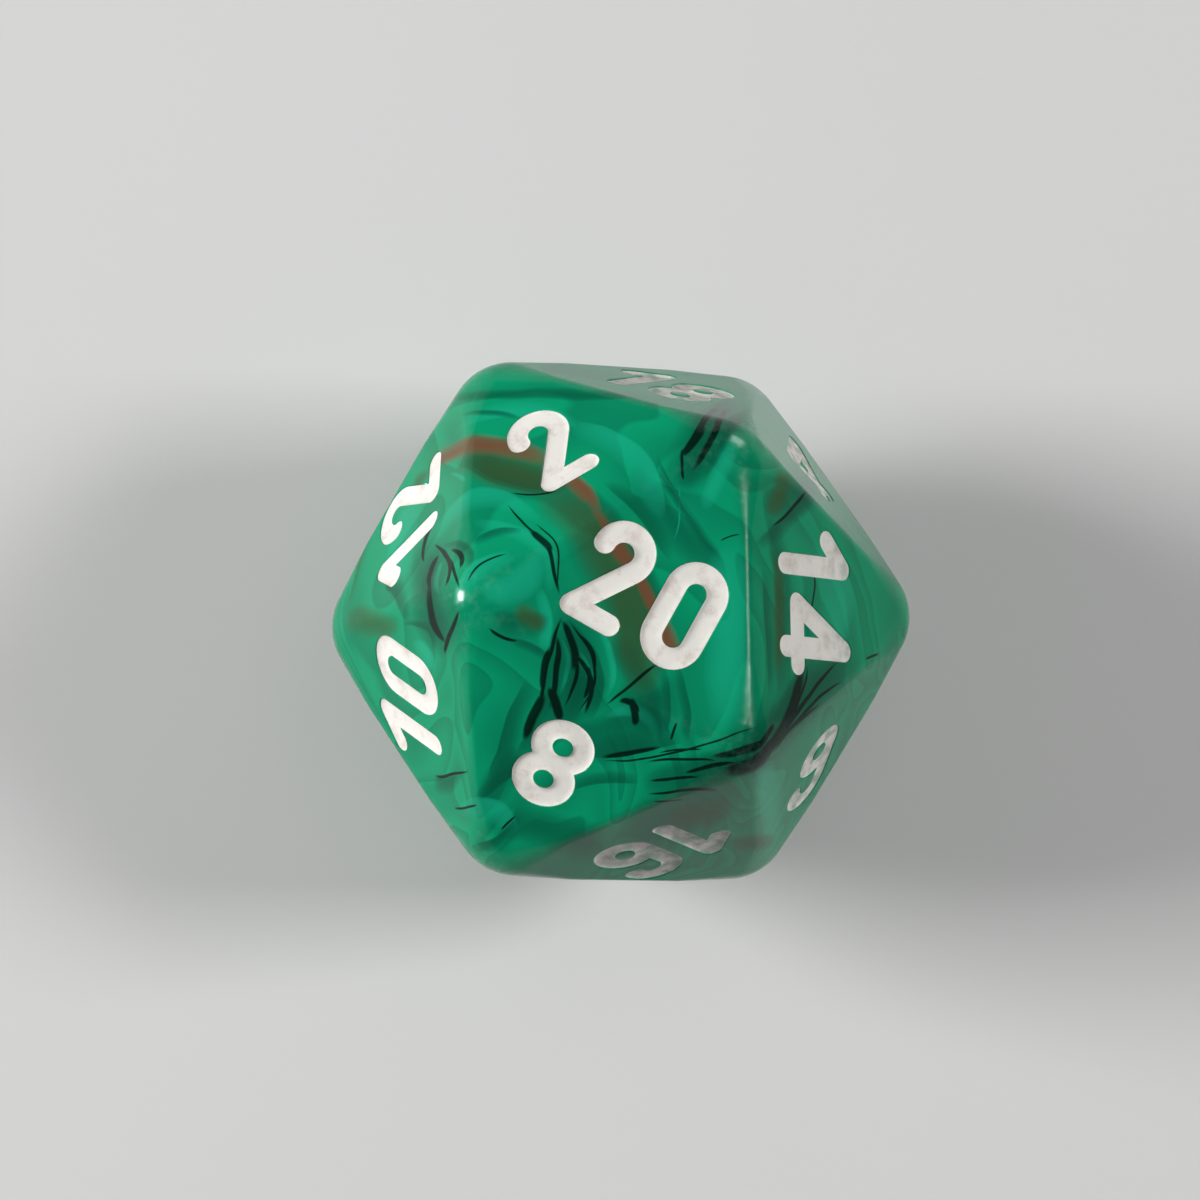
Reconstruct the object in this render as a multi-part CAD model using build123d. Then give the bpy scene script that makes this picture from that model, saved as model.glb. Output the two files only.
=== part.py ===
from build123d import *
import math
import os

# Twenty-sided die (d20): one solid moulded block with an engraved number on each face, and the
# paint that fills every engraved stroke. Lengths in mm, angles in degrees.
# The origin is the middle of the die. +Z leaves through the middle of face 20, so the die rests
# on face 1, and +X points at one of the corners beside the waist.

# Block
across_flats = 20.0       # between opposite faces
edge_radius = 0.8         # rounding along each edge
corner_radius = 2.6       # ball that rounds each corner
blend_length = 2.4        # of the taper between a corner's ball and the edge rounding

# Numerals, drawn with one round-ended stroke. Lengths are to the middle of the stroke.
stroke_width = 0.87       # across the recess
recess_depth = 0.40       # of the moulded stroke
paint_gap = 0.06          # from the face down to the dried paint
digit_height = 3.66
bowl_radius = 0.86        # round parts of 0, 2, 6, 8 and 9
loop_offset = 0.885       # from the middle of 3 or 8 to the middle of each of its loops
digit_space = 0.70        # clear space between the two digits of a number
underline_length = 1.40   # bar under 6 and 9, which tells them apart
underline_drop = 0.75     # from the foot of the digit to the bar

# Widths of the narrow and wide digits, to the middle of the stroke
one_width = 1.06
four_width = 2.44
seven_width = 1.80

# Points within the digits, to the middle of the stroke
one_flag_drop = 0.98      # from the top of the 1 to the tip of its flag
three_sweep = 235         # of each of its two loops
three_gap = 80            # how far short of the middle bar each loop stops
three_bar_left = 0.35     # the short bar where the loops meet
three_bar_right = 0.15
four_stem = 0.53          # right of the middle of the 4
four_bar_rise = 0.70      # from its foot
five_belly_radius = 0.95
five_belly_start = 132    # where the belly leaves the upright
five_belly_end = -150
hook_start = 10           # where the open ends of 6 and 9 begin
seven_foot = 0.40         # left of the middle of the 7

# Each face: its number, the corner above the number, the two corners below it, and how far the
# middle of the number stands right of and above the middle of the face.
faces = [
    (20, "top_back", "top_left", "top_front", -0.15, -0.07),
    (2, "upper_back", "top_left", "top_back", 0.0, 0.88),
    (8, "upper_front", "top_left", "top_front", 0.0, 0.94),
    (14, "upper_right", "top_back", "top_front", 0.0, 0.40),
    (12, "lower_left", "top_left", "upper_back", 0.50, 0.60),
    (10, "lower_left", "top_left", "upper_front", -0.40, 0.72),
    (16, "lower_front", "top_front", "upper_front", 0.42, 0.60),
    (6, "lower_front", "top_front", "upper_right", -0.5, 1.15),
    (4, "lower_back", "top_back", "upper_right", 0.0, 0.90),
    (18, "lower_back", "top_back", "upper_back", 0.0, 0.55),
    (17, "upper_front", "bottom_front", "lower_left", 0.0, 0.55),
    (3, "upper_front", "bottom_front", "lower_front", 0.0, 0.90),
    (5, "upper_back", "bottom_back", "lower_back", 0.0, 0.90),
    (15, "upper_back", "bottom_back", "lower_left", 0.0, 0.55),
    (9, "upper_right", "bottom_right", "lower_front", 0.0, 1.15),
    (11, "upper_right", "bottom_right", "lower_back", 0.0, 0.55),
    (7, "lower_left", "bottom_front", "bottom_back", 0.0, 0.90),
    (13, "lower_back", "bottom_right", "bottom_back", 0.0, 0.55),
    (19, "lower_front", "bottom_right", "bottom_front", 0.0, 0.55),
    (1, "bottom_front", "bottom_right", "bottom_back", 0.0, 0.88),
]

# Icosahedron from its distance across flats
golden = (1 + math.sqrt(5)) / 2
face_height = across_flats / 2
edge_length = across_flats * math.sqrt(3) / golden**2
end_ring_radius = edge_length / math.sqrt(3)
waist_radius = golden * end_ring_radius
waist_height = face_height - end_ring_radius


def ring_corners(radius, height, corner_angles):
    """Corners of one level of the die, by name."""
    points = {}
    for name, angle in corner_angles.items():
        turn = math.radians(angle)
        points[name] = Vector(radius * math.cos(turn), radius * math.sin(turn), height)
    return points


corners = {
    **ring_corners(end_ring_radius, face_height,
                   {"top_left": 180, "top_back": 60, "top_front": -60}),
    **ring_corners(waist_radius, waist_height,
                   {"upper_right": 0, "upper_back": 120, "upper_front": -120}),
    **ring_corners(waist_radius, -waist_height,
                   {"lower_left": 180, "lower_back": 60, "lower_front": -60}),
    **ring_corners(end_ring_radius, -face_height,
                   {"bottom_right": 0, "bottom_back": 120, "bottom_front": -120}),
}


# The block -------------------------------------------------------------------------------------

def face_normal(corner_names):
    """Outward direction of the face between three corners."""
    return sum((corners[name] for name in corner_names), Vector()).normalized()


def ball_centre(name):
    """Centre of the ball that touches the five faces around a corner."""
    corner = corners[name]
    slope = face_height / corner.length
    return corner - corner.normalized() * (corner_radius / slope)


def edge_sections(start, end, side_a, side_b):
    """Centres and radii of the four arcs that the rounding of an edge runs through."""
    outward = (side_a + side_b).normalized()
    along = (corners[end] - corners[start]).normalized()
    reach = (ball_centre(start) - corners[start]).dot(along) + blend_length
    inset = outward * (edge_radius / side_a.dot(outward))
    return [
        (ball_centre(start), corner_radius),
        (corners[start] + along * reach - inset, edge_radius),
        (corners[end] - along * reach - inset, edge_radius),
        (ball_centre(end), corner_radius),
    ]


def edge_patches(sections, side_a, side_b):
    """Rounded edge: a taper, the straight rounding and another taper."""
    outward = (side_a + side_b).normalized()
    arcs = []
    for centre, radius in sections:
        ends = [centre + direction * radius for direction in (side_a, outward, side_b)]
        arcs.append(Edge.make_three_point_arc(*ends))
    return [Face.make_surface_from_curves(a, b) for a, b in zip(arcs, arcs[1:])]


def corner_cap(name, neighbours):
    """Part of the corner's ball between the five edges, its poles and seam turned away."""
    corner = corners[name]
    centre = ball_centre(name)
    sideways = corner.cross(corners[neighbours[0]]).normalized()
    ball = Solid.make_sphere(corner_radius, Plane(centre, -corner, sideways))
    for neighbour in neighbours:
        ball = ball.split(Plane(centre, z_dir=corner - corners[neighbour]), keep=Keep.TOP)
    return ball.faces().filter_by(GeomType.SPHERE)[0]


def make_block():
    """Icosahedron with rounded edges and corners, sewn from its flat and rounded faces."""
    triangles = [frozenset(row[1:4]) for row in faces]
    normals = {triangle: face_normal(triangle) for triangle in triangles}
    touching = {name: [] for name in corners}
    flat_outlines = {triangle: {} for triangle in triangles}
    skin = []
    for start in corners:
        for end in corners:
            sides = [triangle for triangle in triangles if {start, end} <= triangle]
            if start == end or not sides:
                continue
            touching[start].append(end)
            if start > end:
                continue
            side_a, side_b = (normals[side] for side in sides)
            sections = edge_sections(start, end, side_a, side_b)
            skin += edge_patches(sections, side_a, side_b)
            for side in sides:
                flat_outlines[side][start, end] = [
                    centre + normals[side] * radius for centre, radius in sections
                ]
    for triangle in triangles:
        a, b, c = sorted(triangle)
        outline = flat_outlines[triangle]
        loop = outline[a, b][:-1] + outline[b, c][:-1] + outline[a, c][:0:-1]
        skin.append(Face(Wire.make_polygon(loop)))
    for name in corners:
        skin.append(corner_cap(name, touching[name]))
    return Solid(Shell(Face.sew_faces(skin)[0]))


# The numerals: each digit is drawn about its own middle --------------------------------------

top = digit_height / 2
foot = -top


def straight_stroke(start, end):
    """Round-ended stroke between two points."""
    line = Vector(*end) - Vector(*start)
    middle = (Vector(*start) + Vector(*end)) / 2
    angle = math.degrees(math.atan2(line.Y, line.X))
    return Pos(middle.X, middle.Y) * SlotCenterToCenter(line.length, stroke_width, rotation=angle)


def round_stroke(centre, radius, start_angle, sweep):
    """Round-ended stroke along an arc."""
    return SlotArc(CenterArc(centre, radius, start_angle, sweep), stroke_width)


def disc(centre_y, radius):
    return Pos(0, centre_y) * Circle(radius)


outer_bowl = bowl_radius + stroke_width / 2
inner_bowl = bowl_radius - stroke_width / 2


def draw_0():
    outside = SlotOverall(digit_height + stroke_width, 2 * outer_bowl, rotation=90)
    return outside - SlotOverall(digit_height - stroke_width, 2 * inner_bowl, rotation=90)


def draw_1():
    stem = one_width / 2
    flag = straight_stroke((stem, top), (-stem, top - one_flag_drop))
    return straight_stroke((stem, top), (stem, foot)) + flag


def draw_2():
    """Hook over the top, then a straight run tangent to it, down to the base."""
    hook_y = top - bowl_radius
    base_left = (-bowl_radius, foot)
    drop = hook_y - foot
    reach = math.hypot(bowl_radius, drop)
    leave_angle = math.degrees(math.atan2(-drop, -bowl_radius) + math.acos(bowl_radius / reach))
    leave = (
        bowl_radius * math.cos(math.radians(leave_angle)),
        hook_y + bowl_radius * math.sin(math.radians(leave_angle)),
    )
    hook = round_stroke((0, hook_y), bowl_radius, leave_angle, 180 - leave_angle)
    base = straight_stroke(base_left, (bowl_radius, foot))
    return hook + straight_stroke(leave, base_left) + base


def draw_3():
    upper = round_stroke((0, loop_offset), bowl_radius, -three_gap, three_sweep)
    lower = round_stroke((0, -loop_offset), bowl_radius, three_gap - three_sweep, three_sweep)
    return upper + lower + straight_stroke((-three_bar_left, 0), (three_bar_right, 0))


def draw_4():
    apex = (four_stem, top)
    bar_left = (-four_width / 2, foot + four_bar_rise)
    bar_right = (four_width / 2, foot + four_bar_rise)
    stem = straight_stroke(apex, (four_stem, foot))
    return stem + straight_stroke(apex, bar_left) + straight_stroke(bar_left, bar_right)


def draw_5():
    belly_y = foot + five_belly_radius
    belly_sweep = five_belly_start - five_belly_end
    left = five_belly_radius * math.cos(math.radians(five_belly_start))
    shoulder = belly_y + five_belly_radius * math.sin(math.radians(five_belly_start))
    belly = round_stroke((0, belly_y), five_belly_radius, five_belly_end, belly_sweep)
    upright = straight_stroke((left, shoulder), (left, top))
    return belly + upright + straight_stroke((left, top), (bowl_radius, top))


def draw_6():
    upper_y = top - bowl_radius
    lower_y = foot + bowl_radius
    hook = round_stroke((0, upper_y), bowl_radius, hook_start, 180 - hook_start)
    spine = straight_stroke((-bowl_radius, upper_y), (-bowl_radius, lower_y))
    return disc(lower_y, outer_bowl) + hook + spine - disc(lower_y, inner_bowl)


def draw_7():
    left = (-seven_width / 2, top)
    right = (seven_width / 2, top)
    return straight_stroke(left, right) + straight_stroke(right, (-seven_foot, foot))


def draw_8():
    rings = disc(loop_offset, outer_bowl) + disc(-loop_offset, outer_bowl)
    return rings - disc(loop_offset, inner_bowl) - disc(-loop_offset, inner_bowl)


def draw_9():
    return Rot(0, 0, 180) * draw_6()


digit_sketches = {
    "0": draw_0(), "1": draw_1(), "2": draw_2(), "3": draw_3(), "4": draw_4(),
    "5": draw_5(), "6": draw_6(), "7": draw_7(), "8": draw_8(), "9": draw_9(),
}


def number_strokes(number):
    """Node name and sketch of each painted piece of a number, laid out about its middle."""
    digits = str(number)
    label = f"face_{number:02d}"
    if len(digits) == 1:
        strokes = {f"{label}_digit": digit_sketches[digits]}
    else:
        tens, ones = (digit_sketches[digit] for digit in digits)
        tens_width = tens.bounding_box().size.X
        ones_width = ones.bounding_box().size.X
        full_width = tens_width + digit_space + ones_width
        strokes = {
            f"{label}_tens_digit": Pos((tens_width - full_width) / 2, 0) * tens,
            f"{label}_ones_digit": Pos((full_width - ones_width) / 2, 0) * ones,
        }
    if digits in ("6", "9"):
        bar_y = foot - underline_drop - stroke_width / 2
        half_bar = underline_length / 2
        strokes[f"{label}_underline"] = straight_stroke((-half_bar, bar_y), (half_bar, bar_y))
    return strokes


def cut_stroke(plane, sketch, from_depth, to_depth):
    """Solid of a stroke between two depths below a face. A negative depth is above the face."""
    return extrude(plane.offset(-from_depth) * sketch, amount=from_depth - to_depth).solid()


block = make_block()
recesses = []
paint = {}
for number, up_corner, low_corner_a, low_corner_b, right_shift, up_shift in faces:
    corner_names = (up_corner, low_corner_a, low_corner_b)
    middle = sum((corners[name] for name in corner_names), Vector()) / 3
    normal = face_normal(corner_names)
    upward = corners[up_corner] - middle
    face_plane = Plane(middle, upward.cross(normal), normal)
    for node, sketch in number_strokes(number).items():
        placed = Pos(right_shift, up_shift) * sketch
        recesses.append(cut_stroke(face_plane, placed, -paint_gap, recess_depth))
        paint[node] = cut_stroke(face_plane, placed, paint_gap, recess_depth)

os.makedirs("parts", exist_ok=True)
export_step(block.cut(*recesses), "parts/die_body.step")
for node, solid in paint.items():
    export_step(solid, f"parts/{node}.step")
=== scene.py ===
import math

import bmesh
import bpy
from mathutils import Matrix, Vector, noise


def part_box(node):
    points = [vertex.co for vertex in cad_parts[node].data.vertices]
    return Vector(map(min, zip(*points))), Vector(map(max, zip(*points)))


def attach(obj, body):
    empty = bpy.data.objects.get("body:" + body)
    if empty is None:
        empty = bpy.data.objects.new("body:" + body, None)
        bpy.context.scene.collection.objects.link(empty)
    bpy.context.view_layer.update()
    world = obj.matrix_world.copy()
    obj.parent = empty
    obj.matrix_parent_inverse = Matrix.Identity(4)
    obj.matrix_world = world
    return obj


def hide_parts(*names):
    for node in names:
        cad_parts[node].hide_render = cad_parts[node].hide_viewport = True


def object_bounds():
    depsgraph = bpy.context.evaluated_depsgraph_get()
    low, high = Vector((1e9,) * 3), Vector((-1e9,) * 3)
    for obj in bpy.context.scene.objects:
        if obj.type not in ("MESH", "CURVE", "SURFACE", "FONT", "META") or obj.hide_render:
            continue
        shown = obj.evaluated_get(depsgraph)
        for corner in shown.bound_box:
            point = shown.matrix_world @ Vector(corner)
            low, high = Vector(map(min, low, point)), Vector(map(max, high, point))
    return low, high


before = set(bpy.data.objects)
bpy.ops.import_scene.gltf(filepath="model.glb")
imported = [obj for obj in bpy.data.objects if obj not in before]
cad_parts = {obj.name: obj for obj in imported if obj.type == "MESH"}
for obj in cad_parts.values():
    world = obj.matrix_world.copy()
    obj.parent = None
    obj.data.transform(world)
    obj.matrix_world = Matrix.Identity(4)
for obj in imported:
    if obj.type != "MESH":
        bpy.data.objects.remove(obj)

cad_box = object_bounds()
MM = 0.001


# ---- Paint in the numerals ---------------------------------------------------------------------
# Acrylic paint wiped into the engraved strokes and left to dry. It shrinks as it dries, so each
# stroke is dished, with its edge clinging to the recess wall just below the face.

PAINT_RISE = 0.015 * MM              # the clinging edge stands this far above the CAD's flat paint
DISH = [(0.04, 0.028), (0.07, 0.026), (0.10, 0.016), (0.11, 0.006)]   # mm inward, mm down
RIPPLE = 0.010 * MM                  # unevenness of the dried surface
RIPPLE_LENGTH = 0.7 * MM


def stroke_solid(node):
    """Clean copy of a stroke's CAD solid, the faces of its flat top, and the way they look."""
    solid = bmesh.new()
    solid.from_mesh(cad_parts[node].data)
    bmesh.ops.remove_doubles(solid, verts=solid.verts, dist=1e-7)
    solid.normal_update()
    highest = max(solid.faces, key=lambda face: face.normal.dot(face.calc_center_median()))
    direction = highest.normal.copy()
    return solid, [face for face in solid.faces if face.normal.dot(direction) > 0.99], direction


def outline_sides(top, direction):
    """For each point of a flat region's outline, the move that shifts both its edges out by one."""
    sides = {}
    for face in top:
        for loop in face.loops:
            if all(other in top for other in loop.edge.link_faces):
                continue
            run = loop.link_loop_next.vert.co - loop.vert.co
            side = run.cross(direction).normalized()
            for vert in loop.edge.verts:
                sides.setdefault(vert.co.to_tuple(), []).append(side)
    return {place: (a + b) / (1 + a.dot(b)) for place, (a, b) in sides.items()}


def raise_outline(solid, top, direction, rise, spread):
    """Carries a flat region up on new walls, and moves its outline out by the spread."""
    sides = outline_sides(top, direction)
    made = bmesh.ops.extrude_face_region(solid, geom=top)["geom"]
    bmesh.ops.delete(solid, geom=top, context="FACES")
    for item in made:
        if isinstance(item, bmesh.types.BMVert):
            item.co += direction * rise + sides[item.co.to_tuple()] * spread
    return [item for item in made if isinstance(item, bmesh.types.BMFace)]


def finished_mesh(solid, name, sharp_angle):
    """Mesh of a closed solid, smooth except at edges sharper than the angle."""
    bmesh.ops.recalc_face_normals(solid, faces=solid.faces)
    mesh = bpy.data.meshes.new(name)
    solid.to_mesh(mesh)
    solid.free()
    mesh.shade_smooth()
    mesh.set_sharp_from_angle(angle=math.radians(sharp_angle))
    return mesh


def new_piece(name, mesh, slot, *nodes):
    """Finished piece over the given CAD nodes."""
    piece = bpy.data.objects.new(name, mesh)
    bpy.context.scene.collection.objects.link(piece)
    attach(piece, "root")
    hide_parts(*nodes)
    return piece


paint_nodes = [node for node in sorted(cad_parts) if node != "die_body"]
paint_pieces = []
for node in paint_nodes:
    solid, top, direction = stroke_solid(node)
    for vert in {vert for face in top for vert in face.verts}:
        vert.co += direction * PAINT_RISE
    for inward, down in DISH:
        top = raise_outline(solid, top, direction, -down * MM, -inward * MM)
        for vert in {vert for face in top for vert in face.verts}:
            vert.co += direction * RIPPLE * noise.noise(vert.co / RIPPLE_LENGTH)
    mesh = finished_mesh(solid, node + "_paint", 50)
    paint_pieces.append(new_piece(node + "_paint", mesh, "numeral_paint", node))


# ---- The moulded block -------------------------------------------------------------------------
# One solid icosahedron of cast acrylic, tumbled after moulding so that its edges and corners are
# rounded. Its skin is drawn tight over a ball in each corner and an arc at each end of each edge,
# and the strokes are then sunk into it.

EDGE_RADIUS = 0.8 * MM
CORNER_RADIUS = 2.6 * MM
BLEND_LENGTH = 2.4 * MM              # from a corner's ball to the edge's own rounding
ARC_STEPS = 12                       # facets across an edge's rounding
BALL_FINENESS = 5                    # subdivisions of a corner's ball
RIM_RADIUS = 0.05 * MM               # rounding of the rim around each recess
RIM_STEPS = 3
CUTTER_HEIGHT = 0.3 * MM             # the cutters stand out of the face
WEAR_DEPTH = 0.15 * MM               # rounding deeper than this is fully exposed to wear

golden = (1 + math.sqrt(5)) / 2
face_height = (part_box("die_body")[1].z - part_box("die_body")[0].z) / 2
edge_length = 2 * face_height * math.sqrt(3) / golden**2
ring_radius = edge_length / math.sqrt(3)
corner_rings = [
    (ring_radius, face_height, (180, 60, -60)),
    (golden * ring_radius, face_height - ring_radius, (0, 120, -120)),
    (golden * ring_radius, ring_radius - face_height, (180, 60, -60)),
    (ring_radius, -face_height, (0, 120, -120)),
]

sharp_block = bmesh.new()
for radius, height, angles in corner_rings:
    for angle in angles:
        turn = Matrix.Rotation(math.radians(angle), 3, "Z")
        sharp_block.verts.new(turn @ Vector((radius, 0, height)))
bmesh.ops.convex_hull(sharp_block, input=sharp_block.verts)
bmesh.ops.recalc_face_normals(sharp_block, faces=sharp_block.faces)
sharp_block.normal_update()


def ball_middle(corner):
    """Centre of the ball that touches the five faces around a corner."""
    slope = face_height / corner.co.length
    return corner.co - corner.co.normalized() * (CORNER_RADIUS / slope)


skin = bmesh.new()
for corner in sharp_block.verts:
    ball = bmesh.new()
    bmesh.ops.create_icosphere(ball, subdivisions=BALL_FINENESS, radius=CORNER_RADIUS)
    for edge in corner.link_edges:
        everything = ball.verts[:] + ball.edges[:] + ball.faces[:]
        bmesh.ops.bisect_plane(ball, geom=everything, dist=1e-8, plane_co=(0, 0, 0),
                               plane_no=edge.other_vert(corner).co - corner.co, clear_outer=True)
    for vert in ball.verts:
        skin.verts.new(ball_middle(corner) + vert.co.normalized() * CORNER_RADIUS)
    ball.free()
for edge in sharp_block.edges:
    side_a, side_b = (face.normal for face in edge.link_faces)
    outward = (side_a + side_b).normalized()
    for corner in edge.verts:
        along = (edge.other_vert(corner).co - corner.co).normalized()
        reach = (ball_middle(corner) - corner.co).dot(along) + BLEND_LENGTH
        middle = corner.co + along * reach - outward * (EDGE_RADIUS / side_a.dot(outward))
        first = skin.verts.new(middle + side_a * EDGE_RADIUS)
        bmesh.ops.spin(skin, geom=[first], cent=middle, axis=side_a.cross(side_b),
                       angle=side_a.angle(side_b), steps=ARC_STEPS)
bmesh.ops.remove_doubles(skin, verts=skin.verts, dist=1e-7)
bmesh.ops.delete(skin, geom=skin.edges[:], context="EDGES_FACES")
bmesh.ops.convex_hull(skin, input=skin.verts)
inside = [vert for vert in skin.verts if not vert.link_faces]
bmesh.ops.delete(skin, geom=inside, context="VERTS")
bmesh.ops.dissolve_limit(skin, angle_limit=math.radians(0.02), verts=skin.verts, edges=skin.edges)
block_mesh = finished_mesh(skin, "die_block", 30)

cutters = bpy.data.meshes.new("stroke_cutters")
all_cutters = bmesh.new()
for node in paint_nodes:
    solid, top, direction = stroke_solid(node)
    paint_height = top[0].verts[0].co.dot(direction)
    levels = [(face_height - RIM_RADIUS, 0.0)]
    for step in range(1, RIM_STEPS + 1):
        turn = math.pi / 2 * step / RIM_STEPS
        levels.append((face_height - RIM_RADIUS * (1 - math.sin(turn)),
                       RIM_RADIUS * (1 - math.cos(turn))))
    levels.append((face_height + CUTTER_HEIGHT, RIM_RADIUS))
    height, spread = paint_height, 0.0
    for next_height, next_spread in levels:
        top = raise_outline(solid, top, direction, next_height - height, next_spread - spread)
        height, spread = next_height, next_spread
    bmesh.ops.recalc_face_normals(solid, faces=solid.faces)
    solid.to_mesh(cutters)
    solid.free()
    all_cutters.from_mesh(cutters)
all_cutters.to_mesh(cutters)
all_cutters.free()

blank = bpy.data.objects.new("blank", block_mesh)
cutter = bpy.data.objects.new("cutter", cutters)
for tool in (blank, cutter):
    bpy.context.scene.collection.objects.link(tool)
cut = blank.modifiers.new("sink_strokes", "BOOLEAN")
cut.object = cutter
cut.operation = "DIFFERENCE"
cut.solver = "EXACT"
graph = bpy.context.evaluated_depsgraph_get()
engraved = bpy.data.meshes.new_from_object(blank.evaluated_get(graph))
for tool in (blank, cutter):
    bpy.data.objects.remove(tool)
clean = bmesh.new()
clean.from_mesh(engraved)
bmesh.ops.remove_doubles(clean, verts=clean.verts, dist=1e-7)
bmesh.ops.dissolve_degenerate(clean, edges=clean.edges, dist=1e-7)
clean.to_mesh(engraved)
clean.free()
engraved.shade_smooth()
engraved.set_sharp_from_angle(angle=math.radians(40))
die_block = new_piece("die_block", engraved, "swirled_plastic", "die_body")

# How far rounding has cut each point below the sharp block's faces, for the wear in the material
wear = engraved.attributes.new("edge_wear", "FLOAT", "POINT")
flat_normals = [face.normal.copy() for face in sharp_block.faces]
for vert, value in zip(engraved.vertices, wear.data):
    below = face_height - max(vert.co.dot(normal) for normal in flat_normals)
    value.value = min(below / WEAR_DEPTH, 1)
sharp_block.free()


def srgb(code):
    """Linear colour of a hex code."""
    channels = [int(code[start:start + 2], 16) / 255 for start in (0, 2, 4)]
    return [c / 12.92 if c <= 0.04045 else ((c + 0.055) / 1.055) ** 2.4 for c in channels] + [1]


def add_node(tree, kind, inputs, **settings):
    """Adds a node. Each input takes a constant, a node or one of a node's outputs."""
    node = tree.nodes.new(kind)
    for name, value in settings.items():
        setattr(node, name, value)
    for socket, value in inputs.items():
        if isinstance(value, bpy.types.Node):
            value = next(output for output in value.outputs if output.enabled)
        if isinstance(value, bpy.types.NodeSocket):
            tree.links.new(value, node.inputs[socket])
        else:
            node.inputs[socket].default_value = value
    return node


def new_material(name):
    """Material with an empty tree of nodes."""
    material = bpy.data.materials.new(name)
    material.use_nodes = True
    material.node_tree.nodes.clear()
    return material


# Poured acrylic: emerald resin folded over itself in the mould with a little black and red-brown,
# so it shows glassy sheets with one crisp side, thin black lines and one brown ribbon.
swirled_plastic = new_material("swirled_plastic")
tree = swirled_plastic.node_tree

place = add_node(tree, "ShaderNodeTexCoord", {})
in_mm = add_node(tree, "ShaderNodeVectorMath", {0: place.outputs["Object"], 3: 1000}, operation="SCALE")

# The resin turned as it sank, so the lower half is twisted, and it wavers by up to 0.25 mm
height = add_node(tree, "ShaderNodeSeparateXYZ", {0: in_mm}).outputs["Z"]
twist = add_node(tree, "ShaderNodeMapRange", {0: height, 1: 0.0, 2: -8.0, 3: 0.0, 4: 2.6})
twisted = add_node(tree, "ShaderNodeVectorRotate", {"Vector": in_mm, "Angle": twist},
                   rotation_type="Z_AXIS")
drift = add_node(tree, "ShaderNodeTexNoise",
                 {"Vector": twisted, "Scale": 0.4, "Detail": 1, "Roughness": 0.4})
centred = add_node(tree, "ShaderNodeVectorMath", {0: drift.outputs["Color"], 1: (0.5, 0.5, 0.5)},
                   operation="SUBTRACT")
pushed = add_node(tree, "ShaderNodeVectorMath", {0: centred, 1: (0.5, 0.5, 0.5), 2: twisted},
                  operation="MULTIPLY_ADD")
from_above = add_node(tree, "ShaderNodeVectorMath", {0: pushed, 1: (1, 1, 0)}, operation="MULTIPLY")

# Sheets folded into the resin: the saw-tooth of a slow noise, wound around an eye by one corner
WHIRL = (-5.8, 0, 0)                 # mm, the eye
apart = add_node(tree, "ShaderNodeVectorMath", {0: pushed, 1: WHIRL}, operation="DISTANCE")
winding = add_node(tree, "ShaderNodeMath", {0: apart.outputs["Value"], 1: 0.35}, operation="MULTIPLY")
wound = add_node(tree, "ShaderNodeVectorRotate",
                 {"Vector": pushed, "Center": WHIRL, "Angle": winding}, rotation_type="Z_AXIS")
sheets = add_node(tree, "ShaderNodeTexNoise",
                  {"Vector": wound, "Scale": 0.16, "Detail": 0, "Distortion": 0.6})
layers = add_node(tree, "ShaderNodeMath", {0: sheets, 1: 6.0}, operation="MULTIPLY")
fold = add_node(tree, "ShaderNodeMath", {0: layers}, operation="FRACT")
fold_soft = add_node(tree, "ShaderNodeMapRange", {0: fold, 1: 0.0, 2: 0.94, 3: 0.0, 4: 1.0})
fold_end = add_node(tree, "ShaderNodeMapRange", {0: fold, 1: 0.94, 2: 1.0, 3: 1.0, 4: 0.0})
fold_shade = add_node(tree, "ShaderNodeMath", {0: fold_soft, 1: fold_end}, operation="MULTIPLY")


# One streak: a bent ellipse, whose middle line is a parabola and whose two sides differ in width.
# In its own frame it reaches from -1 to 1 along, and its left side fades out at 1 across. The
# mask drawn so far rides in the Z of the place, and the streak raises it where it lies.
BEYOND = 100.0                       # mm, further out than any point of the die
streak = bpy.data.node_groups.new("streak", "ShaderNodeTree")
for name, kind in (("Place", "Vector"), ("Middle", "Vector"), ("Turn", "Vector"), ("Size", "Vector"),
                   ("Bend", "Float"), ("Sides", "Float")):
    streak.interface.new_socket(name, in_out="INPUT", socket_type="NodeSocket" + kind)
streak.interface.new_socket("Place", in_out="OUTPUT", socket_type="NodeSocketVector")
given = add_node(streak, "NodeGroupInput", {}).outputs
framed = add_node(streak, "ShaderNodeMapping",
                  {"Vector": given["Place"], "Location": given["Middle"],
                   "Rotation": given["Turn"], "Scale": given["Size"]}, vector_type="TEXTURE")
along, side, _ = add_node(streak, "ShaderNodeSeparateXYZ", {0: framed}).outputs
along_2 = add_node(streak, "ShaderNodeMath", {0: along, 1: along}, operation="MULTIPLY")
along_4 = add_node(streak, "ShaderNodeMath", {0: along_2, 1: along_2}, operation="MULTIPLY")
bow = add_node(streak, "ShaderNodeMath", {0: 1.0, 1: along_2}, operation="SUBTRACT")
left_side = add_node(streak, "ShaderNodeMath", {0: bow, 1: given["Bend"], 2: side},
                     operation="MULTIPLY_ADD")
right_side = add_node(streak, "ShaderNodeMath", {0: left_side, 1: given["Sides"]}, operation="MULTIPLY")
across = add_node(streak, "ShaderNodeMath", {0: left_side, 1: right_side}, operation="MAXIMUM")
spent = add_node(streak, "ShaderNodeMath", {0: across, 1: across, 2: along_4}, operation="MULTIPLY_ADD")
filled = add_node(streak, "ShaderNodeMath", {0: 1.0, 1: spent}, operation="SUBTRACT")
drawn = add_node(streak, "ShaderNodeCombineXYZ", {0: -BEYOND, 1: -BEYOND, 2: filled})
either = add_node(streak, "ShaderNodeVectorMath", {0: given["Place"], 1: drawn}, operation="MAXIMUM")
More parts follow.
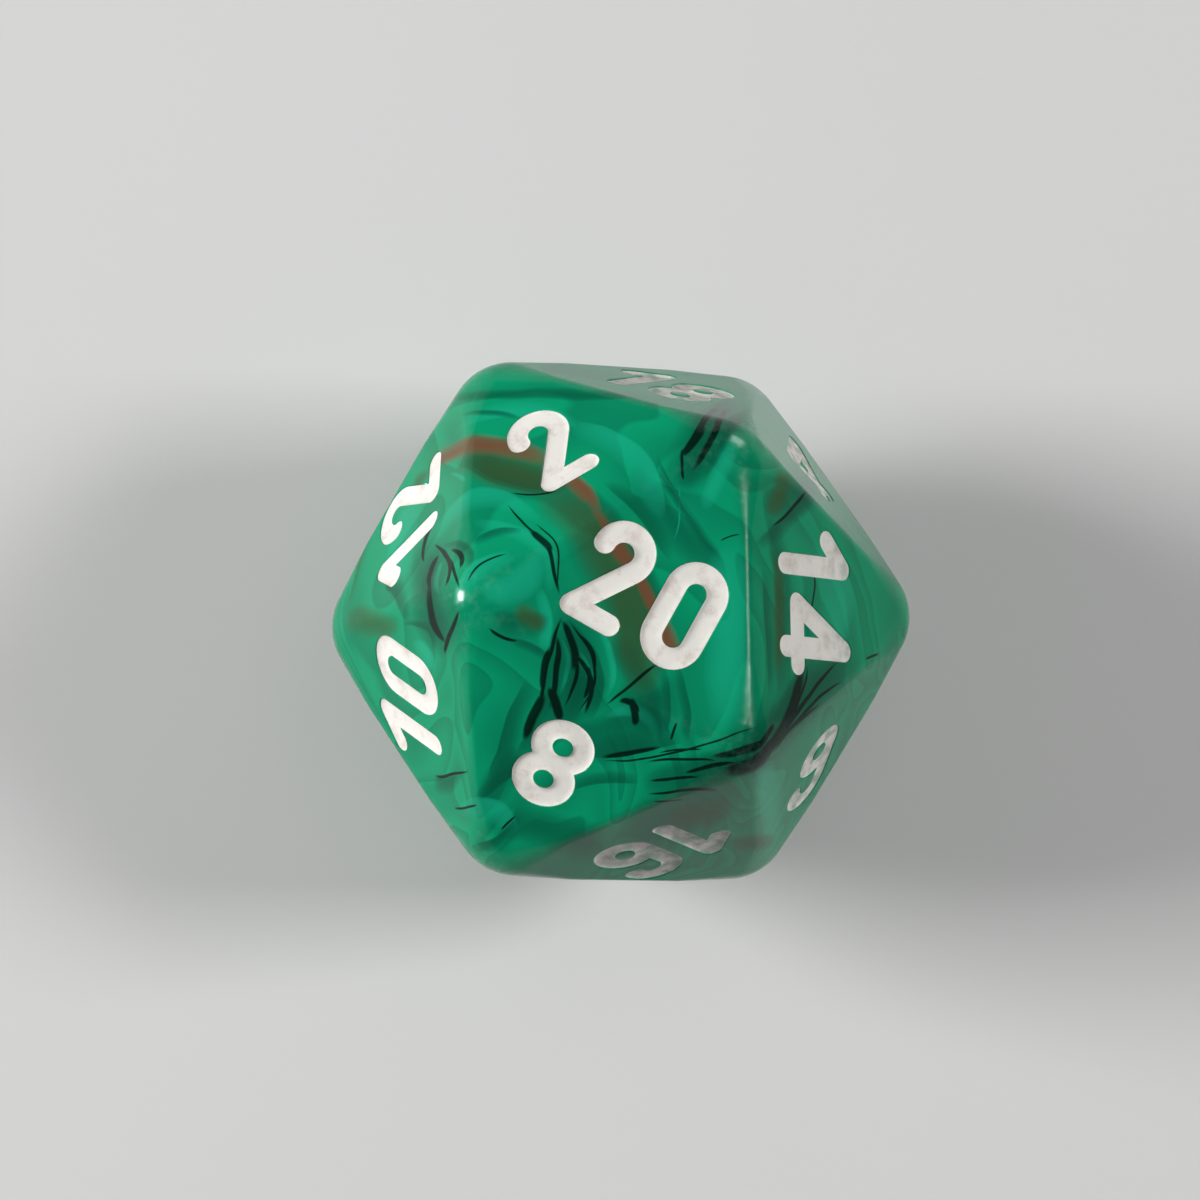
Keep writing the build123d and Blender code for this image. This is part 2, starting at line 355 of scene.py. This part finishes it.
add_node(streak, "NodeGroupOutput", {0: either})


def streak_mask(coords, streaks):
    """Mask of streaks. Each has its two ends (x, y, x, y), how far its middle bends to the left,
    and its half widths to the left and right, all in mm."""
    mask = coords
    for x1, y1, x2, y2, bend, left, right in streaks:
        run = Vector((x2 - x1, y2 - y1))
        mask = add_node(tree, "ShaderNodeGroup",
                        {"Place": mask, "Middle": ((x1 + x2) / 2, (y1 + y2) / 2, 0),
                         "Turn": (0, 0, math.atan2(run.y, run.x)),
                         "Size": (run.length / 2, left, 1),
                         "Bend": -bend / left, "Sides": -left / right}, node_tree=streak)
    return add_node(tree, "ShaderNodeSeparateXYZ", {0: mask}).outputs["Z"]


def blend(colour, mask, over, strength=1.0):
    """Colour with another over it where the mask is."""
    amount = add_node(tree, "ShaderNodeMath", {0: mask, 1: strength}, operation="MULTIPLY")
    return add_node(tree, "ShaderNodeMix", {0: amount, 6: colour, 7: over}, data_type="RGBA")


# Where the streaks lie, looking down on face 20
BROAD_DARK = [
    (-3.9, 5.4, 0.2, -4.2, 1.6, 0.4, 2.4),
    (-3.4, 3.0, -0.4, -4.0, 1.0, 0.7, 1.4),
    (-3.4, -0.2, -3.2, -5.4, 0.3, 1.3, 0.9),
    (-3.6, -5.2, 1.0, -3.2, -0.7, 0.7, 1.5),
    (0.8, 4.0, 4.4, 8.6, 0.2, 1.2, 1.2),
    (3.0, -7.6, 8.8, -1.8, 0.3, 1.4, 1.5),
    (4.9, 3.6, 5.0, -5.0, 0.3, 0.7, 0.25),
    (-0.8, -9.8, 3.8, -7.0, 0.0, 1.5, 1.4),
    (-8.4, 3.0, -7.8, -2.2, -0.5, 1.0, 0.6),
    (-7.2, 6.0, -3.0, 4.2, -0.4, 1.4, 0.15),
    (4.6, 3.4, 7.8, 5.4, 0.0, 0.9, 1.0),
    (-5.2, -5.6, -6.6, -8.0, 0.1, 0.9, 0.4),
    (-0.6, 5.4, 2.9, 1.0, -0.3, 0.4, 1.0),
    (-6.0, -8.4, -1.0, -9.8, 0.2, 0.7, 0.8),
]
PALE_SHEETS_AND_HIGHLIGHT = [
    # The first row is the pale arc that runs up from the left corner: a sheet's crisp edge in the
    # resin, made paler with a painted highlight from the glint on that corner
    (-7.8, -0.2, -5.6, 1.8, 0.5, 0.10, 0.8),
    (-8.2, 3.0, -4.2, 3.2, 1.5, 0.2, 0.9),
    (-6.8, 3.2, -3.9, 0.2, 1.0, 0.2, 0.6),
    (-9.6, 1.0, -8.6, 4.8, 0.3, 0.3, 0.6),
    (-7.0, 7.4, -2.2, 6.9, 0.7, 0.7, 0.15),
    (-2.6, 7.4, 0.5, 3.2, 1.0, 0.15, 1.1),
    (2.8, 2.0, 2.8, -5.6, 0.2, 1.1, 1.0),
    (7.2, 2.6, 7.4, -2.2, 1.0, 0.6, 1.1),
    (-6.8, 0.2, -4.3, 1.6, -0.5, 0.7, 0.7),
    (-7.0, -7.6, -4.8, -8.8, 0.5, 0.15, 0.8),
    (-8.9, -1.2, -8.3, -2.6, 0.1, 0.15, 0.3),
    (2.2, 3.4, 3.7, 6.6, 0.1, 0.4, 0.4),
    (-3.0, -2.0, -2.8, -4.6, 0.4, 0.07, 0.14),
    (-3.5, -1.6, -3.6, -4.0, 0.3, 0.05, 0.14),
    (-2.1, -1.4, -1.9, -4.0, 0.4, 0.10, 0.25),
    (0.9, 2.2, 1.2, 4.4, -0.1, 0.04, 0.05),
    (0.3, 5.4, 1.9, 2.8, -0.05, 0.06, 0.08),
    (-1.9, -4.6, 0.2, -5.6, 0.6, 0.3, 0.3),
    (-8.0, 1.7, -8.2, 0.4, -0.1, 0.08, 0.10),
    (-7.4, 5.6, -7.0, 5.0, 0.1, 0.08, 0.12),
    (4.2, -6.4, 6.0, -9.4, 0.2, 0.9, 0.5),
    (-4.4, 0.4, -4.2, -2.2, 0.3, 0.15, 0.5),
]
DEEP_SHEETS = [
    (-7.6, 8.9, 0.6, 8.3, 0.15, 0.35, 0.25),
    (-6.8, 8.1, -4.6, 7.7, 0.1, 0.12, 0.2),
    (-6.9, 6.0, -3.2, 4.4, -0.40, 1.0, 0.08),
    (-1.8, 4.6, 0.7, 1.4, 0.15, 0.6, 0.08),
    (-3.8, -1.2, -4.1, -5.4, -0.2, 1.0, 0.10),
    (-3.3, -0.8, -2.3, -4.8, 0.6, 0.10, 0.7),
    (-3.6, -3.4, -5.2, -6.0, 0.0, 0.8, 0.15),
    (-8.2, 2.2, -7.9, -1.6, -0.45, 0.4, 0.25),
    (-7.9, 2.4, -7.0, 1.2, 0.35, 0.2, 0.3),
    (-1.2, -3.4, 0.3, -6.0, 0.5, 0.2, 1.0),
    (-2.5, -6.2, 1.2, -5.8, 0.0, 0.8, 0.05),
    (1.4, 4.2, 3.7, 8.4, 0.2, 0.7, 0.6),
    (2.0, 4.6, 4.3, 7.6, 0.2, 0.3, 0.3),
    (0.3, 5.8, 2.8, 1.4, -0.2, 0.08, 0.35),
    (1.0, 4.0, 2.7, 1.5, -0.1, 0.30, 0.15),
    (6.9, 4.7, 4.2, 2.0, 0.15, 0.5, 0.15),
    (3.4, -7.0, 8.6, -2.0, 0.2, 0.8, 1.0),
    (4.2, -5.6, 6.6, -2.2, -0.2, 0.3, 0.8),
    (-0.3, -7.2, 3.8, -6.4, 0.1, 0.5, 0.8),
    (-8.0, -6.4, -7.0, -6.6, -0.1, 0.06, 0.7),
    (-6.3, -7.6, -4.4, -6.2, 0.1, 0.8, 0.08),
    (-6.6, -9.4, -4.8, -8.3, -0.2, 0.08, 0.5),
    (-6.4, -0.7, -4.0, -0.9, -0.1, 0.4, 0.8),
    (-5.6, -1.6, -4.0, -2.4, 0.1, 0.10, 0.3),
    (-9.4, -0.6, -8.3, -1.8, 0.40, 0.25, 0.08),
    (-4.9, -3.2, -6.2, -7.2, -0.2, 0.8, 0.05),
    (1.0, -2.8, 1.4, -5.8, 0.15, 0.06, 0.4),
    (0.5, -3.0, 0.5, -5.6, 0.1, 0.06, 0.4),
    (-9.6, 2.6, -9.2, -0.6, -0.4, 0.4, 0.08),
    (-6.9, 2.2, -5.0, 2.8, 0.3, 0.08, 0.35),
    (4.4, 1.2, 4.6, -4.0, 0.1, 0.5, 0.06),
    (-3.0, -7.4, -0.4, -7.2, 0.1, 0.5, 0.08),
    (-3.4, -1.4, -3.2, -5.0, 0.4, 0.5, 0.6),
    (-1.4, -1.6, 0.4, -4.8, 0.0, 0.5, 0.8),
    (3.2, -6.7, 6.2, -3.4, -0.5, 0.6, 0.6),
]
OLIVE = [
    (-7.2, 6.1, -2.8, 4.6, -0.1, 1.0, 0.9),
    (-4.0, 4.6, -0.2, -4.0, 1.1, 1.0, 1.5),
    (-2.6, 2.6, -1.0, -3.4, 0.5, 0.5, 0.5),
    (5.8, 5.3, 4.9, 3.2, 0.0, 0.5, 0.5),
    (5.1, 2.0, 5.1, -3.2, 0.1, 0.35, 0.3),
    (-5.5, -0.4, -4.2, -1.2, 0.0, 0.45, 0.45),
    (-11.2, 0.6, -9.6, -0.9, -0.2, 0.6, 0.5),
    (4.0, -9.2, 6.3, -9.2, 0.0, 0.35, 0.35),
    (-8.2, 6.1, -8.7, 4.8, 0.0, 0.2, 0.25),
    (1.0, -8.6, 3.6, -8.0, 0.0, 0.5, 0.6),
]
BROWN = [
    (-7.9, 6.6, -3.6, 5.7, 0.40, 0.44, 0.56),
    (-8.1, 6.2, -6.4, 6.6, 0.1, 0.36, 0.42),
    (-4.2, 6.0, -1.9, 3.3, 0.25, 0.28, 0.36),
    (-3.2, 4.9, -2.2, 3.8, 0.1, 0.34, 0.46),
    (-2.4, 3.8, 0.9, -2.6, 0.25, 0.27, 0.31),
    (-1.6, 2.4, -0.8, 1.2, 0.0, 0.46, 0.46),
    (0.2, -0.9, 0.9, -2.6, 0.0, 0.46, 0.40),
]
BLACK_LINES = [
    (-5.4, 3.9, -4.2, 1.9, 0.0, 0.05, 0.06),
    (-4.8, 2.8, -3.6, 0.1, 0.1, 0.09, 0.10),
    (-4.7, 2.7, -4.1, 1.6, 0.0, 0.16, 0.18),
    (-4.5, 3.0, -3.7, 0.3, 0.25, 0.04, 0.05),
    (-5.2, 4.4, -3.6, 4.4, -0.1, 0.03, 0.06),
    (-3.5, -0.7, -4.3, -4.8, -0.15, 0.07, 0.12),
    (-4.0, -2.0, -4.2, -3.8, -0.1, 0.15, 0.17),
    (-3.6, -0.8, -3.4, -4.4, 0.5, 0.09, 0.06),
    (-3.5, -0.9, -3.1, -3.0, 0.2, 0.18, 0.16),
    (-3.3, -0.9, -2.9, -4.6, 0.7, 0.08, 0.05),
    (-3.0, -1.3, -2.4, -3.2, 0.3, 0.06, 0.05),
    (-2.6, -2.8, -2.7, -4.0, 0.05, 0.10, 0.10),
    (-4.2, -3.8, -4.9, -5.4, 0.0, 0.3, 0.2),
    (0.2, -2.7, -1.9, -4.2, 0.05, 0.07, 0.08),
    (-1.4, -4.1, -0.6, -4.6, 0.15, 0.16, 0.12),
    (-0.9, -4.0, -0.7, -5.1, 0.0, 0.18, 0.16),
    (-2.0, -6.3, 4.2, -5.2, -0.35, 0.04, 0.06),
    (-2.0, -6.2, 0.4, -5.9, -0.05, 0.16, 0.05),
    (-6.5, -1.2, -5.3, -1.7, -0.1, 0.07, 0.09),
    (-7.2, 0.6, -5.7, 1.7, 0.2, 0.05, 0.05),
    (-8.0, 2.3, -8.0, 0.6, 0.2, 0.08, 0.08),
    (-8.1, 2.0, -8.4, 0.6, -0.15, 0.09, 0.09),
    (-8.4, 0.9, -7.9, -1.6, -0.3, 0.12, 0.12),
    (-7.7, 2.1, -7.4, 1.2, 0.15, 0.14, 0.10),
    (3.3, 8.2, 1.2, 5.5, 0.0, 0.15, 0.14),
    (2.4, 6.9, 1.3, 5.6, 0.05, 0.17, 0.10),
    (1.4, 6.0, 1.4, 4.6, -0.08, 0.07, 0.07),
    (3.6, 8.0, 1.7, 5.0, 0.1, 0.08, 0.22),
    (2.7, 2.2, 3.5, 2.4, 0.05, 0.03, 0.05),
    (6.6, 4.6, 5.0, 2.8, 0.15, 0.07, 0.09),
    (6.9, 1.2, 6.8, -0.4, 0.1, 0.05, 0.05),
    (2.8, -7.0, 4.9, -5.9, -0.15, 0.30, 0.36),
    (3.4, -6.8, 6.3, -2.4, -0.75, 0.28, 0.24),
    (4.6, -5.8, 6.6, -2.5, -0.4, 0.07, 0.07),
    (4.7, -6.2, 8.0, -2.2, 0.1, 0.09, 0.09),
    (5.0, -6.1, 8.3, -3.0, 0.3, 0.08, 0.07),
    (4.6, -6.4, 7.2, -4.0, 0.2, 0.10, 0.07),
    (4.2, -6.0, 4.9, -5.0, 0.0, 0.12, 0.12),
    (-0.1, -6.4, 2.6, -6.6, 0.10, 0.06, 0.06),
    (0.3, -6.1, 2.0, -6.1, 0.05, 0.04, 0.05),
    (0.0, -7.1, 2.0, -7.1, 0.06, 0.07, 0.06),
    (0.0, -7.6, 2.8, -7.5, 0.08, 0.06, 0.06),
    (0.3, -7.9, 1.6, -7.8, 0.0, 0.05, 0.05),
    (0.9, -5.0, 0.7, -5.7, 0.0, 0.07, 0.07),
    (-8.0, -6.4, -6.9, -6.5, -0.05, 0.07, 0.07),
    (-7.2, -7.8, -6.4, -7.8, 0.0, 0.06, 0.06),
    (-5.5, -8.8, -4.9, -8.3, 0.0, 0.05, 0.05),
    (9.3, -2.1, 10.0, -1.8, 0.0, 0.06, 0.06),
    (-3.7, -1.5, -3.9, -4.4, 0.1, 0.16, 0.12),
    (-3.1, -2.2, -2.6, -4.6, 0.3, 0.12, 0.10),
    (-4.0, -3.6, -3.4, -4.8, 0.0, 0.22, 0.18),
    (-8.2, 2.6, -7.5, 0.4, 0.1, 0.07, 0.08),
    (-8.6, 1.8, -8.0, 3.6, 0.2, 0.06, 0.06),
    (-7.6, -0.4, -7.9, -2.0, -0.1, 0.08, 0.08),
    (2.4, -6.4, 4.6, -5.6, -0.1, 0.12, 0.22),
    (1.4, -6.9, 3.4, -6.6, 0.0, 0.08, 0.10),
]

# The colours are poured over one another, so the later ones lie on top
colour = add_node(tree, "ShaderNodeMix", {0: fold_shade, 6: srgb("068f64"), 7: srgb("057a56")},
                  data_type="RGBA")
colour = blend(colour, streak_mask(from_above, BROAD_DARK), srgb("045a40"), 0.8)
# Pale sheets, and the painted highlight on the arc by the left corner
colour = blend(colour, streak_mask(from_above, PALE_SHEETS_AND_HIGHLIGHT), srgb("16a480"), 0.55)
colour = blend(colour, streak_mask(from_above, DEEP_SHEETS), srgb("044a35"), 0.7)
colour = blend(colour, streak_mask(from_above, OLIVE), srgb("364a24"), 0.65)
colour = blend(colour, streak_mask(from_above, BROWN), srgb("6e432f"), 0.9)
inked = add_node(tree, "ShaderNodeMapRange",
                 {0: streak_mask(from_above, BLACK_LINES), 1: 0.0, 2: 0.6, 3: 0.0, 4: 1.0})
colour = blend(colour, inked, srgb("02150f"), 0.95)

# Edges are scuffed paler and duller. The polish ripples faintly, and handling has dulled it, so the
# skin mirrors less than new acrylic would.
rub = add_node(tree, "ShaderNodeAttribute", {}, attribute_name="edge_wear")
scuffs = add_node(tree, "ShaderNodeTexNoise",
                  {"Vector": in_mm, "Scale": 2.5, "Detail": 6, "Roughness": 0.65})
scuffed = add_node(tree, "ShaderNodeMapRange", {0: scuffs, 1: 0.45, 2: 0.7, 3: 0.0, 4: 1.0})
worn = add_node(tree, "ShaderNodeMath", {0: scuffed, 1: rub.outputs["Fac"]}, operation="MULTIPLY")
colour = blend(colour, worn, srgb("7fc4ad"), 0.08)
roughness = add_node(tree, "ShaderNodeMapRange", {0: worn, 1: 0.0, 2: 1.0, 3: 0.13, 4: 0.3})
peel = add_node(tree, "ShaderNodeTexNoise", {"Vector": in_mm, "Scale": 0.9, "Detail": 2})
skin_bump = add_node(tree, "ShaderNodeBump", {"Height": peel, "Strength": 0.12, "Distance": 0.05 * MM})
plastic = add_node(tree, "ShaderNodeBsdfPrincipled",
                   {"Base Color": colour, "Roughness": roughness, "IOR": 1.49,
                    "Specular IOR Level": 0.15, "Normal": skin_bump})
add_node(tree, "ShaderNodeOutputMaterial", {"Surface": plastic})
evened = die_block.modifiers.new("even_flats", "WEIGHTED_NORMAL")
evened.keep_sharp = True
die_block.data.materials.clear()
die_block.data.materials.append(swirled_plastic)

# Dried acrylic paint: chalky off-white, greyed by handling, with specks of grime
numeral_paint = new_material("numeral_paint")
tree = numeral_paint.node_tree
place = add_node(tree, "ShaderNodeTexCoord", {})
in_mm = add_node(tree, "ShaderNodeVectorMath", {0: place.outputs["Object"], 3: 1000}, operation="SCALE")
grime = add_node(tree, "ShaderNodeTexNoise",
                 {"Vector": in_mm, "Scale": 1.1, "Detail": 5, "Roughness": 0.7})
grimy = add_node(tree, "ShaderNodeMapRange", {0: grime, 1: 0.50, 2: 0.80, 3: 0.0, 4: 1.0})
colour = blend(srgb("e0dcd6"), grimy, srgb("c0b0a6"))

# On the faces that lean away from the top, on one side, the paint is rubbed thin, and the green
# shows through in patches
at = add_node(tree, "ShaderNodeSeparateXYZ", {0: in_mm}).outputs
handled = add_node(tree, "ShaderNodeMapRange", {0: at["X"], 1: -4.0, 2: 1.0, 3: 0.0, 4: 1.0})
low = add_node(tree, "ShaderNodeMapRange", {0: at["Z"], 1: 6.8, 2: 5.4, 3: 0.1, 4: 1.0})
patches = add_node(tree, "ShaderNodeTexNoise", {"Vector": in_mm, "Scale": 1.7, "Detail": 3})
thin = add_node(tree, "ShaderNodeMapRange", {0: patches, 1: 0.42, 2: 0.62, 3: 0.0, 4: 0.6})
bare_side = add_node(tree, "ShaderNodeMath", {0: handled, 1: low}, operation="MULTIPLY")
bare = add_node(tree, "ShaderNodeMath", {0: bare_side, 1: thin}, operation="MULTIPLY")
colour = blend(colour, bare, srgb("6f9683"))

grain = add_node(tree, "ShaderNodeTexNoise", {"Vector": in_mm, "Scale": 6.0, "Detail": 4})
paint_bump = add_node(tree, "ShaderNodeBump", {"Height": grain, "Strength": 0.5, "Distance": 0.03 * MM})
dry = add_node(tree, "ShaderNodeBsdfPrincipled",
               {"Base Color": colour, "Roughness": 0.6, "Specular IOR Level": 0.1,
                "Normal": paint_bump})
add_node(tree, "ShaderNodeOutputMaterial", {"Surface": dry})
for piece in paint_pieces:
    piece.data.materials.clear()
    piece.data.materials.append(numeral_paint)


# ---- Table, light and camera -------------------------------------------------------------------

def add_area(name, size, power, place):
    """Square white light facing the middle of the die."""
    light = bpy.data.lights.new(name, "AREA")
    light.size = size
    light.energy = power
    lamp = bpy.data.objects.new(name, light)
    lamp.location = place
    lamp.rotation_euler = (-Vector(place)).to_track_quat("-Z", "Y").to_euler()
    bpy.context.scene.collection.objects.link(lamp)
    return lamp


FLOOR_REACH = 0.6                    # m, from the middle to each side
floor_mesh = bpy.data.meshes.new("table_top")
floor_shape = bmesh.new()
bmesh.ops.create_grid(floor_shape, x_segments=1, y_segments=1, size=FLOOR_REACH)
bmesh.ops.translate(floor_shape, verts=floor_shape.verts, vec=(0, 0, cad_box[0].z))
floor_shape.to_mesh(floor_mesh)
floor_shape.free()
table_top = bpy.data.objects.new("table_top", floor_mesh)
bpy.context.scene.collection.objects.link(table_top)

# Two windows face each other across the table. Each is a soft light, which the polished skin does
# not mirror, and a small bright pane, which shows only as a glint. A third pane is opposite a corner.
sky = add_area("sky", 0.5, 0.35, (0.0, 0.10, 0.60))
left_window = add_area("left_window", 0.16, 2.75, (-0.425, 0.058, 0.215))
right_window = add_area("right_window", 0.14, 1.35, (0.38, 0.04, 0.32))
for lamp in (sky, left_window, right_window):
    lamp.visible_glossy = False
left_pane = add_area("left_pane", 0.11, 3.0, (-0.49, 0.077, 0.035))
right_pane = add_area("right_pane", 0.13, 1.9, (0.38, 0.04, 0.32))
far_pane = add_area("far_pane", 0.14, 0.8, (0.267, 0.409, 0.07))
for lamp in (left_pane, right_pane, far_pane):
    lamp.visible_diffuse = False

room = bpy.data.worlds.new("room")
room.use_nodes = True
room.node_tree.nodes["Background"].inputs["Color"].default_value = srgb("c9ced2")
room.node_tree.nodes["Background"].inputs["Strength"].default_value = 0.10
bpy.context.scene.world = room

paper = new_material("paper")
tree = paper.node_tree
place = add_node(tree, "ShaderNodeTexCoord", {})
mottle = add_node(tree, "ShaderNodeTexNoise",
                  {"Vector": place.outputs["Object"], "Scale": 18, "Detail": 2})
tint = blend(srgb("d2d2d1"), mottle, srgb("cecdcc"))
sheet = add_node(tree, "ShaderNodeBsdfPrincipled", {"Base Color": tint, "Roughness": 0.9})
add_node(tree, "ShaderNodeOutputMaterial", {"Surface": sheet})
table_top.data.materials.append(paper)

VIEW_BACK = Vector((-0.1254, -0.1086, 0.9861))       # from the die towards the camera
CAMERA_PLACE = Vector((-0.826, 0.914, 225.5)) * MM   # right, up and back from the die's middle
CAMERA_ROLL = math.radians(-0.9)
camera_data = bpy.data.cameras.new("camera")
camera_data.lens = 164.1
camera_data.sensor_width = 36
camera_data.clip_start = 0.01
camera = bpy.data.objects.new("camera", camera_data)
right = Vector((0, 1, 0)).cross(VIEW_BACK).normalized()
up = VIEW_BACK.cross(right)
upright = Matrix((right, up, VIEW_BACK)).transposed()
turn = upright @ Matrix.Rotation(CAMERA_ROLL, 3, "Z")
camera.matrix_world = Matrix.Translation(turn @ CAMERA_PLACE) @ turn.to_4x4()
bpy.context.scene.collection.objects.link(camera)
bpy.context.scene.camera = camera
bpy.context.scene.view_settings.view_transform = "Standard"
